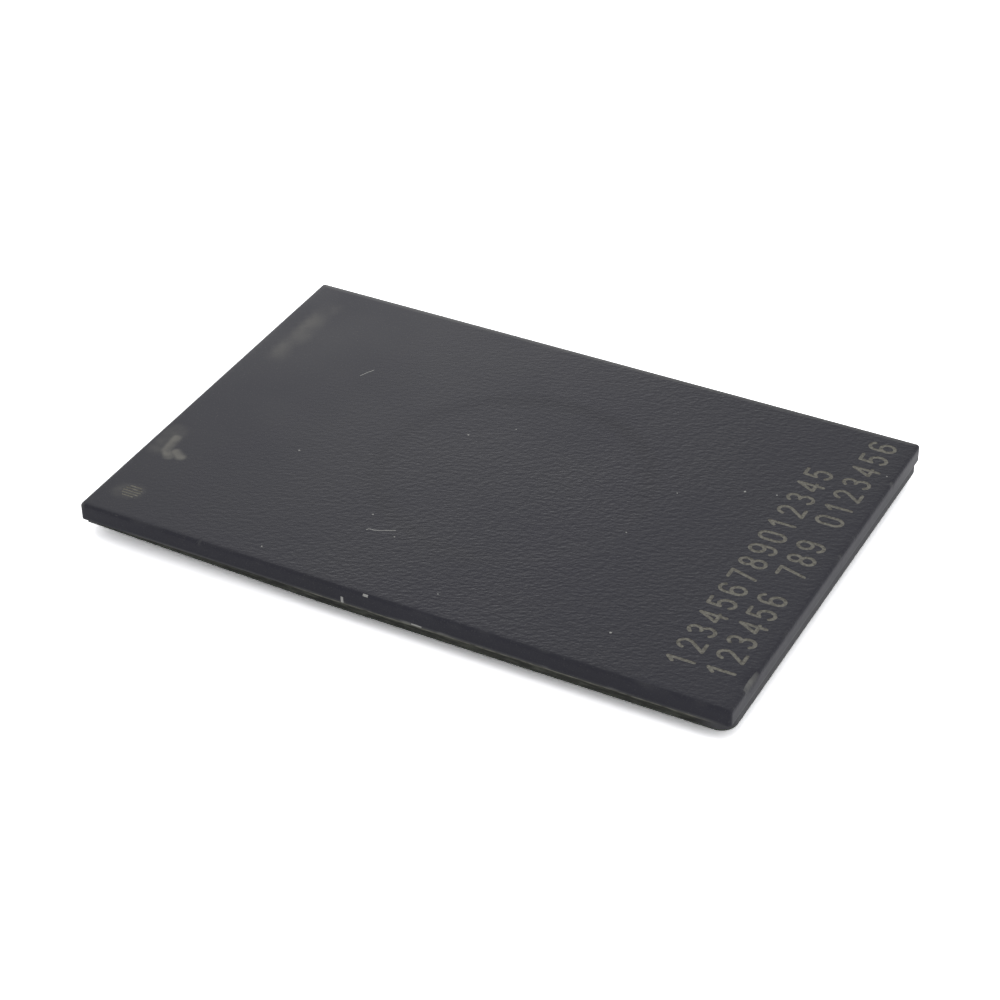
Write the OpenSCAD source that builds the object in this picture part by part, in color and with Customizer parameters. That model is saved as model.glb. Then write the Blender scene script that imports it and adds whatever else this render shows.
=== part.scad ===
// Ball grid array memory package: a moulded cap over four stacked dies,
// wire bonded to a two layer laminate that stands on a grid of solder balls.
// +X runs along the package to the marked end, the origin lies on the plane
// of the ball tips, and ball A1 is at the (-X, -Y) corner.

/* [Package] */
// Length of the package along X
body_l = 18; // [17.6:0.1:20]
// Width of the package along Y
body_w = 12; // [11.6:0.1:14]
// Thickness of the mould cap above the laminate
cap_h = 0.46; // [0.42:0.01:0.9]
// Radius of the cap's upright corners
cap_corner_r = 0.1; // [0.06:0.01:0.3]
// Radius that wear and release give the cap's top edges
cap_edge_r = 0.08; // [0.02:0.01:0.1]

/* [Laminate] */
// Thickness of the glass and resin core
core_t = 0.15; // [0.1:0.01:0.4]
// Thickness of each solder mask over bare core
mask_t = 0.035; // [0.025:0.005:0.06]
// Thickness of each copper layer
copper_t = 0.015; // [0.01:0.005:0.02]
// Radius of the laminate's routed corners
laminate_corner_r = 0.42; // [0.2:0.02:0.6]
// Length over which the laminate's -Y edge is rubbed back from the index corner
rub_l = 7; // [4:0.5:9]
// Depth of that rubbed edge at the corner
rub_depth = 0.2; // [0.05:0.01:0.25]
// Diameter of a copper filled via
via_d = 0.15; // [0.1:0.01:0.2]
// Diameter of the copper pad round a via
via_pad_d = 0.3; // [0.22:0.02:0.36]
// Width of a copper trace
trace_w = 0.08; // [0.05:0.01:0.12]

/* [Ball grid] */
// Distance between neighbouring balls
pitch = 1; // [0.8:0.05:1]
// Height of a soldered ball below the laminate
ball_h = 0.32; // [0.25:0.01:0.4]
// Diameter of the mask opening that a ball fills
opening_d = 0.4; // [0.3:0.01:0.46]
// Diameter of the copper land over a ball
land_d = 0.5; // [0.48:0.01:0.56]
// Rows at each end that carry balls only at their sides
end_rows = 2; // [1:1:3]
// Balls at each side of those rows
side_balls = 3; // [2:1:4]

/* [Die stack] */
// Length of a die along X
die_l = 13.2; // [10:0.1:13.4]
// Width of a die along Y
die_w = 9.6; // [8:0.1:10]
// Thickness of a die
die_t = 0.05; // [0.03:0.005:0.055]
// Thickness of the adhesive film under a die
film_t = 0.015; // [0.01:0.005:0.02]
// Step from each die to the next one up, which bares its bond pads
die_step = 0.4; // [0.3:0.05:0.5]
// Gap between the bond fingers and the lowest die
die_gap = 0.6; // [0.3:0.05:0.8]

/* [Bond wires] */
// Diameter of a gold wire
wire_d = 0.025; // [0.018:0.001:0.03]
// Rise of a wire's arch between two dies over the line between its ends
wire_rise = 0.08; // [0.05:0.005:0.09]
// Rise of the longer arches from the lowest die down to the fingers
finger_rise = 0.16; // [0.14:0.01:0.24]
// Diameter of the ball bond that starts a wire
bond_d = 0.07; // [0.05:0.005:0.09]
// Diameter of the stitch that ends a wire
stitch_d = 0.056; // [0.04:0.002:0.08]
// Height of a bond above its pad
bond_h = 0.03; // [0.026:0.001:0.034]
// Length of a bond finger
finger_l = 0.5; // [0.3:0.05:0.6]
// Width of a bond finger
finger_w = 0.14; // [0.1:0.01:0.2]
// Gap between the package's edge and the bond fingers
finger_inset = 0.75; // [0.5:0.05:1]
// Clear margin of the mask window round the fingers
window_margin = 0.08; // [0.04:0.01:0.12]

/* [Hidden] */
// Grid of 17 lettered rows along X by 11 columns along Y.
ROW_LETTERS = ["a", "b", "c", "d", "e", "f", "g", "h", "j",
               "k", "l", "m", "n", "p", "r", "t", "u"];
rows = len(ROW_LETTERS);
cols = 11;
middle_row = (rows - 1) / 2;
dies = 4;

// Heights, from the ball tips up.
mask_bottom_z = ball_h;
core_z = mask_bottom_z + mask_t;
mask_top_z = core_z + core_t;
cap_z = mask_top_z + mask_t;
die_pitch_z = die_t + film_t;
finger_z = mask_top_z + copper_t;

// Balls, vias and their copper.
ball_r = (pow(opening_d / 2, 2) + pow(ball_h, 2)) / (2 * ball_h);
via_shift = pitch / 2;

// Bond fingers and the dies behind them.
wire_pitch = pitch / 2;
pad_margin = 0.2;
wires = 2 * floor((die_w / 2 - pad_margin) / wire_pitch) + 1;
finger_x = -body_l / 2 + finger_inset;
die_x = finger_x + finger_l + die_gap;
pad_inset = die_step / 4;
stitch_inset = 3 * die_step / 4 - wire_d;
finger_stitch = finger_l / 2;

// Reference plane in the upper copper, behind the signal vias.
plane_gap = 0.12;
plane_inset = 0.3;
plane_corner_r = 0.3;

// Share of the pitch within which two places count as one.
snap = 0.01;

// Facets of the curves that OpenSCAD itself draws.
round_fn = 48;
small_fn = 24;

colours = ["#4b4b50", "#5e6a4a", "#b8a26a", "#c87f4a", "#8d9297", "#c9c3a0", "#e0b040", "#c4c7cb"];

ball_rows = [for (r = [0 : rows - 1]) if (r != middle_row) r];
BALL_NODES = [for (r = ball_rows) str("ball_row_", ROW_LETTERS[r])];
DIE_NODES = [for (k = [1 : dies]) each
    [str("die_", k), str("die_film_", k), str("bond_wires_", k)]];

// Positions on the grid.
function row_x(r) = (r - (rows - 1) / 2) * pitch;
function col_y(c) = (c - (cols - 1) / 2) * pitch;
function via_x(r) = row_x(r) + via_shift;
function via_y(c) = col_y(c) + via_shift;
function is_end_row(r) = r < end_rows || r >= rows - end_rows;
function is_side_col(c) = c < side_balls || c >= cols - side_balls;
function has_ball(r, c) = is_end_row(r) ? is_side_col(c)
    : r != middle_row && c > 0 && c < cols - 1;
function ball_cols(r) = [for (c = [0 : cols - 1]) if (has_ball(r, c)) c];

// Places along the row of fingers, and the via that each one reaches.
function wire_y(j) = (j - (wires - 1) / 2) * wire_pitch;
function via_col(j) = floor((wire_y(j) - via_y(0)) / pitch + snap);
function is_on_col(j) = abs(wire_y(j) - via_y(via_col(j))) < snap * pitch;
function signal_row(j) = (is_side_col(via_col(j)) ? 0 : end_rows) + (is_on_col(j) ? 0 : 1);

// Places in the die stack, k = 1 being the lowest die.
function die_left(k) = die_x + (k - 1) * die_step;
function film_z(k) = cap_z + (k - 1) * die_pitch_z;
function die_top(k) = film_z(k) + die_pitch_z;

// Rectangle with round corners, centred on the origin.
module round_rect(l, w, r) {
    square([l - 2 * r, w], center = true);
    square([l, w - 2 * r], center = true);
    for (sx = [-1, 1], sy = [-1, 1])
        translate([sx * (l / 2 - r), sy * (w / 2 - r)]) circle(r, $fn = round_fn);
}

// Outline of the cap seen from the side, with its two top corners rounded.
module cap_side(l) {
    translate([-l / 2, 0]) square([l, cap_h - cap_edge_r]);
    translate([-l / 2 + cap_edge_r, 0]) square([l - 2 * cap_edge_r, cap_h]);
    for (s = [-1, 1])
        translate([s * (l / 2 - cap_edge_r), cap_h - cap_edge_r]) circle(cap_edge_r, $fn = round_fn);
}

// The cap's outer form: its plan and its two side outlines, each drawn through.
module cap_block() {
    translate([0, 0, cap_z]) intersection() {
        linear_extrude(cap_h) round_rect(body_l, body_w, cap_corner_r);
        translate([0, body_w / 2, 0]) rotate([90, 0, 0]) linear_extrude(body_w) cap_side(body_l);
        translate([-body_l / 2, 0, 0]) rotate([90, 0, 90]) linear_extrude(body_l) cap_side(body_w);
    }
}

// Opening in the upper mask that bares the row of bond fingers.
module finger_window() {
    l = finger_l + 2 * window_margin;
    w = (wires - 1) * wire_pitch + finger_w + 2 * window_margin;
    translate([finger_x - window_margin, -w / 2]) square([l, w]);
}

module fingers_2d() {
    for (j = [0 : wires - 1])
        translate([finger_x, wire_y(j) - finger_w / 2]) square([finger_l, finger_w]);
}

// Straight trace between two points, with square ends.
module trace(a, b) {
    translate(a) rotate(atan2(b.y - a.y, b.x - a.x)) translate([0, -trace_w / 2])
        square([norm(b - a), trace_w]);
}

// Trace from a finger's inner end to its via, with a 45 degree jog between columns.
module signal_2d(j) {
    start = [finger_x + finger_l - trace_w, wire_y(j)];
    via = [via_x(signal_row(j)), via_y(via_col(j))];
    bend = [via.x - (wire_y(j) - via.y), wire_y(j)];
    trace(start, bend);
    if (!is_on_col(j)) {
        translate(bend) circle(trace_w / 2, $fn = small_fn);
        trace(bend, via);
    }
}

module plane_2d() {
    left = via_x(end_rows + 1) + via_pad_d / 2 + plane_gap;
    right = body_l / 2 - plane_inset;
    translate([(left + right) / 2, 0]) round_rect(right - left, body_w - 2 * plane_inset, plane_corner_r);
}

function is_on_plane(r) = via_x(r) > via_x(end_rows + 1) + via_pad_d;

module top_copper_2d() {
    fingers_2d();
    for (j = [0 : wires - 1]) signal_2d(j);
    for (r = ball_rows, c = ball_cols(r)) if (!is_on_plane(r))
        translate([via_x(r), via_y(c)]) circle(d = via_pad_d, $fn = small_fn);
    plane_2d();
}

// Land, neck and via pad of one ball.
module dog_bone_2d(r, c) {
    translate([row_x(r), col_y(c)]) circle(d = land_d, $fn = round_fn);
    translate([via_x(r), via_y(c)]) circle(d = via_pad_d, $fn = small_fn);
    trace([row_x(r), col_y(c)], [via_x(r), via_y(c)]);
}

module bottom_copper_2d() {
    for (r = ball_rows, c = ball_cols(r)) dog_bone_2d(r, c);
}

module vias_2d() {
    for (r = ball_rows, c = ball_cols(r))
        translate([via_x(r), via_y(c)]) circle(d = via_d, $fn = small_fn);
}

// Outline of the laminate, with its -Y edge rubbed back towards the index corner.
module laminate_2d() {
    corner = [-body_l / 2, -body_w / 2];
    difference() {
        round_rect(body_l, body_w, laminate_corner_r);
        polygon([corner - [rub_depth, rub_depth], corner + [rub_l, -rub_depth], corner + [rub_l, 0],
                 corner + [0, rub_depth], corner + [-rub_depth, rub_depth]]);
    }
}

// Round gold wire on a single arc, with the bond at each of its ends.
module bond_wire(from_x, from_z, to_x, to_z, rise) {
    end_z = bond_h / 2;
    span = [to_x - from_x, to_z - from_z];
    chord = norm(span);
    arc_r = (chord * chord / 4 + rise * rise) / (2 * rise);
    half = asin(chord / 2 / arc_r);
    translate([from_x, 0, from_z + end_z]) rotate([90, 0, 0]) rotate(atan2(span.y, span.x) - 180)
        translate([-chord / 2, rise - arc_r, 0]) rotate(90 - half)
            rotate_extrude(angle = 2 * half, $fn = round_fn)
                translate([arc_r, 0]) circle(d = wire_d, $fn = small_fn);
    translate([from_x, 0, from_z]) cylinder(h = bond_h, d = bond_d, $fn = small_fn);
    translate([to_x, 0, to_z]) cylinder(h = bond_h, d = stitch_d, $fn = small_fn);
}

// Wires that start on die k and end on the die below it, or on the fingers.
module wires_of(k) {
    to_x = k == 1 ? finger_x + finger_stitch : die_left(k - 1) + stitch_inset;
    to_z = k == 1 ? finger_z : die_top(k - 1);
    rise = k == 1 ? finger_rise : wire_rise;
    for (j = [0 : wires - 1]) translate([0, wire_y(j), 0])
        bond_wire(die_left(k) + pad_inset, die_top(k), to_x, to_z, rise);
}

module plate_of(k, z, t) {
    translate([die_left(k), -die_w / 2, z]) cube([die_l, die_w, t]);
}

// Ball soldered to its land: a sphere cut by the mask, on a short neck that fills the opening.
module ball() {
    intersection() {
        translate([0, 0, ball_r]) sphere(ball_r, $fn = round_fn);
        translate([-ball_r, -ball_r, 0]) cube([2 * ball_r, 2 * ball_r, ball_h]);
    }
    translate([0, 0, ball_h]) cylinder(h = mask_t - copper_t, d = opening_d, $fn = round_fn);
}

module mould_cap() color(colours[0]) difference() {
    union() {
        cap_block();
        translate([0, 0, mask_top_z]) linear_extrude(mask_t + cap_h / 4) finger_window();
    }
    translate([0, 0, mask_top_z]) linear_extrude(copper_t) intersection() {
        top_copper_2d();
        finger_window();
    }
    for (k = [1 : dies]) {
        plate_of(k, film_z(k), die_pitch_z);
        wires_of(k);
    }
}

module top_solder_mask() color(colours[1]) translate([0, 0, mask_top_z]) difference() {
    linear_extrude(mask_t) difference() {
        laminate_2d();
        finger_window();
    }
    linear_extrude(copper_t) top_copper_2d();
}

module top_copper() color(colours[3]) translate([0, 0, mask_top_z]) linear_extrude(copper_t) top_copper_2d();

module substrate_core() color(colours[2]) translate([0, 0, core_z]) linear_extrude(core_t) difference() {
    laminate_2d();
    vias_2d();
}

module vias() color(colours[3]) translate([0, 0, core_z]) linear_extrude(core_t) vias_2d();

module bottom_copper() color(colours[3])
    translate([0, 0, core_z - copper_t]) linear_extrude(copper_t) bottom_copper_2d();

module bottom_solder_mask() color(colours[1]) translate([0, 0, mask_bottom_z]) difference() {
    linear_extrude(mask_t) laminate_2d();
    translate([0, 0, mask_t - copper_t]) linear_extrude(copper_t) bottom_copper_2d();
    linear_extrude(mask_t - copper_t) for (r = ball_rows, c = ball_cols(r))
        translate([row_x(r), col_y(c)]) circle(d = opening_d, $fn = round_fn);
}

module die(k) color(colours[4]) plate_of(k, film_z(k) + film_t, die_t);

module die_film(k) color(colours[5]) plate_of(k, film_z(k), film_t);

module bond_wires(k) color(colours[6]) wires_of(k);

module ball_row(r) color(colours[7]) for (c = ball_cols(r)) translate([row_x(r), col_y(c), 0]) ball();

mould_cap();
top_solder_mask();
top_copper();
substrate_core();
vias();
bottom_copper();
bottom_solder_mask();
for (k = [1 : dies]) {
    die(k);
    die_film(k);
    bond_wires(k);
}
for (r = ball_rows) ball_row(r);
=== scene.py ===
"""Finishes for a ball grid memory package: moulded cap, laminate, die stack, wires and balls.

The sizes below are in millimetres. The meshes and shaders are in metres, like the frame.
"""

import math

import bmesh
import bpy
from mathutils import Matrix, Vector, noise
from mathutils.geometry import delaunay_2d_cdt


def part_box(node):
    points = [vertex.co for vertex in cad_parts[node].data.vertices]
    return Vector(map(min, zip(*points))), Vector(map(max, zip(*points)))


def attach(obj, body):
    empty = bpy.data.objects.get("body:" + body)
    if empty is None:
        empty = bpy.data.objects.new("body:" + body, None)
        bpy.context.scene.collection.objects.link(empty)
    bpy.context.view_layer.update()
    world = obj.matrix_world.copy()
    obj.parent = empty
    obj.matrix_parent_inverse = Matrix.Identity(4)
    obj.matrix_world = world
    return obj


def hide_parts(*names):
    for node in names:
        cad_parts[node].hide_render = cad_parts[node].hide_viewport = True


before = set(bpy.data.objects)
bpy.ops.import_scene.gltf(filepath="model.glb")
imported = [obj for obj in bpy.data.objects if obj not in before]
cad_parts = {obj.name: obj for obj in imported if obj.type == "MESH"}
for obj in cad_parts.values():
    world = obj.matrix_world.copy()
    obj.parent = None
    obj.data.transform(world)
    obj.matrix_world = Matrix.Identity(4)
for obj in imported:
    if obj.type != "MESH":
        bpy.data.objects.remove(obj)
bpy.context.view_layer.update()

bl_info = {
    "name": "Ball grid package finishes",
    "version": (1, 0, 0),
    "blender": (4, 5, 0),
    "location": "View3D > Sidebar > Package",
    "description": "Builds the moulded cap and dresses every layer of a ball grid memory package",
    "category": "Object",
}

# A millimetre in the scene's metres, the one body, the number of dies, and the distances in
# millimetres under which two places on the cap, or two points of a triangulation, are the same.
MM = 0.001
BODY = "root"
DIES = 4
SAME = 2e-4
SNAP = 1e-5

# Places that the frame gives, in millimetres.
cap_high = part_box("mould_cap")[1] / MM
TOP_Z = cap_high.z
CAP_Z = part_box("top_solder_mask")[1].z / MM
HALF = Vector((cap_high.x, cap_high.y))
BALL_NODES = sorted(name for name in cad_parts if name.startswith("ball_row_"))

# The cap's outline: the same corner and edge radii as its solid.
CORNER_R = 0.1
EDGE_R = 0.08

# How finely the cap is drawn along its outline, round its corners and edges, up its sides and
# over its top, and the turn from which an edge stays sharp.
RIM_STEP = 0.07
CORNER_STEPS = 6
EDGE_STEPS = 6
SIDE_STEPS = 3
LATTICE = 0.2
SHARP_TURN = math.radians(35)

# The cap's material slots: whole skin, laser marks, torn compound.
PLAIN, MARKED, SCUFFED = range(3)


def linear(hex_colour):
    """Turns an sRGB hex colour to the linear values that shaders take."""
    channels = (int(hex_colour[i:i + 2], 16) / 255 for i in (1, 3, 5))
    return (*(c / 12.92 if c <= 0.04045 else ((c + 0.055) / 1.055) ** 2.4 for c in channels), 1.0)


def per_mm(size):
    """Scale that gives a pattern features of this size in millimetres."""
    return 1 / (size * MM)


def colour_property(name, description, hex_colour):
    """A colour that a user can change, given as sRGB hex."""
    return bpy.props.FloatVectorProperty(
        name=name, description=description, subtype="COLOR", size=4, min=0, max=1,
        default=linear(hex_colour))


def length_property(name, description, default):
    """A length that a user can change, given in millimetres."""
    return bpy.props.FloatProperty(
        name=name, description=description, default=default * MM, min=0, precision=6,
        subtype="DISTANCE", unit="LENGTH")


class CapSettings(bpy.types.PropertyGroup):
    """Finish of the mould cap and of its laser marks."""

    compound: colour_property("Compound", "Moulding compound under its gloss", "#22222b")
    marked: colour_property("Marked", "Compound that the laser has bleached", "#73716a")
    # This colour of worn compound also paints the highlight along the cap's far edges.
    wear_and_highlight: colour_property("Worn", "Chipped and rubbed compound", "#6a6a68")
    ripple_width: length_property("Ripple width", "Width of the ripples of the moulded skin", 0.115)
    ripple_height: length_property("Ripple height", "Height of those ripples", 0.018)
    mark_depth: length_property("Mark depth", "Depth of the laser marks", 0.007)
    stroke_width: length_property("Stroke width", "Width of a marked line", 0.098)
    dish_depth: length_property("Dish depth", "Depth of the ejector's round dish", 0.006)


class LaminateSettings(bpy.types.PropertyGroup):
    """Finish of the laminate and of its solder masks."""

    resin: colour_property("Core", "Glass and resin core at its routed edge", "#1f201c")
    mask: colour_property("Solder mask", "Cured solder mask film", "#20281f")
    cut_mask: colour_property("Cut mask", "Edge of the upper mask, whitened by the saw", "#5c5c55")
    dust: colour_property("Dust", "Compound dust that the saw smeared over the +X side", "#444448")
    fibre_width: length_property("Fibre width", "Height of one glass bundle in the edge", 0.05)


class MetalSettings(bpy.types.PropertyGroup):
    """Colours of the metals and of the dies."""

    copper: colour_property("Copper", "Etched copper foil", "#c8825c")
    gold: colour_property("Gold", "Drawn gold wire", "#e8b954")
    solder: colour_property("Solder", "Reflowed tin, silver and copper solder", "#c4c6ca")
    silicon: colour_property("Silicon", "Ground and passivated die", "#6c7078")


class StageSettings(bpy.types.PropertyGroup):
    """Camera, floor and light."""

    floor: colour_property("Floor", "Plain white floor", "#f0f0f2")
    lens: bpy.props.FloatProperty(
        name="Lens", description="Focal length of the camera", default=97.63, min=10,
        subtype="DISTANCE_CAMERA", unit="CAMERA")
    azimuth: bpy.props.FloatProperty(
        name="Azimuth", description="Camera's turn round the package",
        default=math.radians(28.62), subtype="ANGLE", unit="ROTATION")
    elevation: bpy.props.FloatProperty(
        name="Elevation", description="Camera's height over the floor as an angle",
        default=math.radians(35.75), subtype="ANGLE", unit="ROTATION")
    roll: bpy.props.FloatProperty(
        name="Roll", description="Camera's turn about its own axis",
        default=math.radians(-1.11), subtype="ANGLE", unit="ROTATION")
    distance: length_property("Distance", "From the camera to the point it looks at", 68.4)
    floor_gain: bpy.props.FloatProperty(
        name="Floor gain", description="How much brighter the camera sees the floor",
        default=2.6, min=1)
    mirror_gain: bpy.props.FloatProperty(
        name="Mirror gain", description="How much brighter gloss and glass show the floor",
        default=1.25, min=1)
    sky: bpy.props.FloatProperty(
        name="Sky", description="Strength of the even light from all round", default=0.82, min=0)
    panel: bpy.props.FloatProperty(
        name="Panel", description="Power in watts of the soft panel behind the package",
        default=0.0168, min=0)
    side: bpy.props.FloatProperty(
        name="Side", description="Strength of the soft light from the +X side", default=0.35, min=0)


# Shader helpers.

def socket(sockets, name):
    """The socket of that name that the node's settings leave in use."""
    return next(s for s in sockets if s.enabled and name in (None, s.name))


def add_node(tree, kind, inputs, output=None, **settings):
    """Adds a node with its settings, values and links, and returns one of its outputs."""
    node = tree.nodes.new(kind)
    for name, value in settings.items():
        setattr(node, name, value)
    for name, value in inputs.items():
        target = socket(node.inputs, name)
        if isinstance(value, bpy.types.NodeSocket):
            tree.links.new(value, target)
        else:
            target.default_value = value
    return socket(node.outputs, output)


def start_material(name, finish):
    """Makes a material with constants on its shader. Returns it, its tree, shader and place."""
    made = bpy.data.materials.new(name)
    made.use_nodes = True
    tree = made.node_tree
    shader = tree.nodes["Principled BSDF"]
    for name, value in finish.items():
        shader.inputs[name].default_value = value
    place = add_node(tree, "ShaderNodeTexCoord", {}, "Object")
    return made, tree, shader, place


def scaled(colour, factor):
    """The colour made lighter or darker."""
    return (*(channel * factor for channel in colour[:3]), 1.0)


# Materials.

# Along X, once turned by this angle, the cap's skin is smooth at the first place and has all of
# its ripples from the second one on, in millimetres.
SKIN_TURN = math.radians(20)
SMOOTH_AT = -7
RIPPLED_AT = 3


def mould_compound(settings):
    """Epoxy moulding compound filled with fused silica and carbon black, pressed against a spark
    eroded mould. Its skin has shallow slanting ripples and a low gloss, so it looks like dark
    leather. Rubbed edges turn pale and dull where the silica shows. Both far edges are painted
    pale as a highlight, and a darker ring on the slope of the ejector's dish is painted shade."""
    made, tree, shader, place = start_material(
        "moulded_epoxy_compound", {"IOR": 1.5, "Specular IOR Level": 0.235})
    # The melt dragged the ripples into ovals that slant across the package.
    flow = add_node(tree, "ShaderNodeMapping", {
        "Vector": place, "Rotation": (0, 0, math.radians(25)), "Scale": (1.3, 0.8, 1.0)},
        vector_type="TEXTURE")
    ripple = add_node(tree, "ShaderNodeTexNoise", {
        "Vector": flow, "Scale": per_mm(settings.ripple_width / MM), "Detail": 2.5,
        "Roughness": 0.55})
    # The skin froze smoothest towards the -X +Y corner, where the mould was filled first.
    turned = add_node(tree, "ShaderNodeMapping", {
        "Vector": place, "Rotation": (0, 0, SKIN_TURN)}, vector_type="POINT")
    along = add_node(tree, "ShaderNodeSeparateXYZ", {"Vector": turned}, "X")
    rippled = add_node(tree, "ShaderNodeMapRange", {
        "Value": along, "From Min": SMOOTH_AT * MM, "From Max": RIPPLED_AT * MM,
        "To Min": 0.05, "To Max": 1.05})
    # The sawn sides have no moulded skin: no ripples, and a smoother cut.
    sawn = add_node(tree, "ShaderNodeAttribute", {}, "Fac", attribute_name="sawn")
    skinned = add_node(tree, "ShaderNodeMix", {"Factor": sawn, "A": rippled, "B": 0.1})
    # Single grains of silica are 0.02 mm, drawn at twice that to show at all.
    grain = add_node(tree, "ShaderNodeTexNoise", {
        "Vector": place, "Scale": per_mm(0.04), "Detail": 1.0})
    # Filler and resin mix unevenly, in clouds of some 3 mm.
    cloud = add_node(tree, "ShaderNodeTexNoise", {
        "Vector": place, "Scale": per_mm(3.0), "Detail": 2.0})
    wear_and_highlight = add_node(tree, "ShaderNodeAttribute", {}, "Fac", attribute_name="wear_and_highlight")
    haze = add_node(tree, "ShaderNodeAttribute", {}, "Fac", attribute_name="haze")
    ring = add_node(tree, "ShaderNodeAttribute", {}, "Fac", attribute_name="ring")
    patchy = add_node(tree, "ShaderNodeMapRange", {
        "Value": cloud, "From Min": 0.3, "From Max": 0.7})
    skin = add_node(tree, "ShaderNodeMix", {
        "Factor": patchy, "A": scaled(settings.compound, 0.92),
        "B": scaled(settings.compound, 1.08)}, data_type="RGBA")
    grainy = add_node(tree, "ShaderNodeMapRange", {
        "Value": grain, "From Min": 0.62, "From Max": 0.78, "To Min": 0.0, "To Max": 0.22})
    speckled = add_node(tree, "ShaderNodeMix", {
        "Factor": grainy, "A": skin, "B": settings.wear_and_highlight}, data_type="RGBA")
    # Painted shade: a darker ring on the slope of the ejector's dish.
    darkened = add_node(tree, "ShaderNodeMix", {
        "Factor": ring, "A": speckled, "B": scaled(settings.compound, 0.62)}, data_type="RGBA")
    hazed = add_node(tree, "ShaderNodeMix", {
        "Factor": haze, "A": darkened, "B": settings.marked}, data_type="RGBA")
    # Rubbed and chipped compound, and the painted highlight along the far edges, in the pale colour
    # of worn compound.
    rubbed_and_highlit = add_node(tree, "ShaderNodeMix", {
        "Factor": wear_and_highlight, "A": hazed, "B": settings.wear_and_highlight}, data_type="RGBA")
    tree.links.new(rubbed_and_highlit, shader.inputs["Base Color"])
    moulded = add_node(tree, "ShaderNodeMapRange", {
        "Value": cloud, "From Min": 0.3, "From Max": 0.7, "To Min": 0.42, "To Max": 0.5})
    rough = add_node(tree, "ShaderNodeMix", {"Factor": sawn, "A": moulded, "B": 0.3})
    tree.links.new(rough, shader.inputs["Roughness"])
    bumped = add_node(tree, "ShaderNodeBump", {
        "Height": ripple, "Distance": settings.ripple_height, "Strength": skinned})
    gritty = add_node(tree, "ShaderNodeBump", {
        "Height": grain, "Distance": 0.0006 * MM, "Strength": 1.0, "Normal": bumped})
    tree.links.new(gritty, shader.inputs["Normal"])
    return made


def laser_mark(settings):
    """The same compound where a marking laser burnt its black out. The pulses leave a pale, dry,
    olive grey floor, mottled pulse by pulse."""
    made, tree, shader, place = start_material(
        "laser_bleached_compound", {"IOR": 1.45, "Roughness": 0.85, "Specular IOR Level": 0.25})
    # The laser's pulses land 0.06 mm apart.
    pulses = add_node(tree, "ShaderNodeTexNoise", {
        "Vector": place, "Scale": per_mm(0.06), "Detail": 2.0, "Roughness": 0.6})
    burnt = add_node(tree, "ShaderNodeMapRange", {
        "Value": pulses, "From Min": 0.3, "From Max": 0.62})
    mottled = add_node(tree, "ShaderNodeMix", {
        "Factor": burnt, "A": scaled(settings.marked, 0.5), "B": scaled(settings.marked, 1.15)},
        data_type="RGBA")
    tree.links.new(mottled, shader.inputs["Base Color"])
    bumped = add_node(tree, "ShaderNodeBump", {
        "Height": pulses, "Distance": 0.003 * MM, "Strength": 1.0})
    tree.links.new(bumped, shader.inputs["Normal"])
    return made


def scuffed_compound(settings):
    """Compound torn open by a knock or a hair line scratch. The broken silica grains scatter the
    light, so it reads as small pale specks."""
    made, tree, shader, place = start_material(
        "scuffed_compound", {"IOR": 1.5, "Roughness": 0.7, "Specular IOR Level": 0.5})
    # Broken grains are 0.01 to 0.03 mm, all drawn at the coarser size to show.
    grain = add_node(tree, "ShaderNodeTexNoise", {
        "Vector": place, "Scale": per_mm(0.03), "Detail": 1.0})
    broken = add_node(tree, "ShaderNodeMix", {
        "Factor": grain, "A": scaled(settings.wear_and_highlight, 1.3), "B": scaled(settings.wear_and_highlight, 3.2)},
        data_type="RGBA")
    tree.links.new(broken, shader.inputs["Base Color"])
    return made


# Sawing dust on the laminate: how far in from the +X side it starts and is thickest, in
# millimetres, and the share of the colour that it hides there.
DUST_STARTS = 1.0
DUST_THICKEST = 0.3
DUST_SHARE = 0.85


def dusted(tree, place, tone, settings):
    """The tone, dulled to the compound's grey by sawing dust where the +X side begins."""
    along = add_node(tree, "ShaderNodeSeparateXYZ", {"Vector": place}, "X")
    dusty = add_node(tree, "ShaderNodeMapRange", {
        "Value": along, "From Min": (HALF.x - DUST_STARTS) * MM,
        "From Max": (HALF.x - DUST_THICKEST) * MM, "To Max": DUST_SHARE})
    return add_node(tree, "ShaderNodeMix", {
        "Factor": dusty, "A": tone, "B": settings.dust}, data_type="RGBA")


def glass_epoxy(settings):
    """Woven glass in a dark resin, cut by a router. The edge is a dull olive black with paler
    glass bundles smeared along it, and burnt darker over stretches of some millimetres."""
    made, tree, shader, place = start_material(
        "routed_glass_epoxy", {"IOR": 1.53, "Roughness": 0.5, "Specular IOR Level": 0.2})
    heat = add_node(tree, "ShaderNodeTexNoise", {
        "Vector": place, "Scale": per_mm(2.2), "Detail": 1.0})
    burnt = add_node(tree, "ShaderNodeMapRange", {
        "Value": heat, "From Min": 0.38, "From Max": 0.6})
    # The router smears each bundle to some eight times its height along the edge.
    along = add_node(tree, "ShaderNodeMapping", {"Vector": place, "Scale": (0.12, 0.12, 1.0)})
    bundles = add_node(tree, "ShaderNodeTexNoise", {
        "Vector": along, "Scale": per_mm(settings.fibre_width / MM), "Detail": 3.0,
        "Roughness": 0.6})
    paler = add_node(tree, "ShaderNodeMapRange", {
        "Value": bundles, "From Min": 0.45, "From Max": 0.75})
    resin = add_node(tree, "ShaderNodeMix", {
        "Factor": burnt, "A": scaled(settings.resin, 0.45), "B": scaled(settings.resin, 1.1)},
        data_type="RGBA")
    streaked = add_node(tree, "ShaderNodeMix", {
        "Factor": paler, "A": resin, "B": scaled(settings.resin, 4.5)}, data_type="RGBA")
    tree.links.new(dusted(tree, place, streaked, settings), shader.inputs["Base Color"])
    bumped = add_node(tree, "ShaderNodeBump", {
        "Height": bundles, "Distance": 0.006 * MM, "Strength": 1.0})
    tree.links.new(bumped, shader.inputs["Normal"])
    return made


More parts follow.
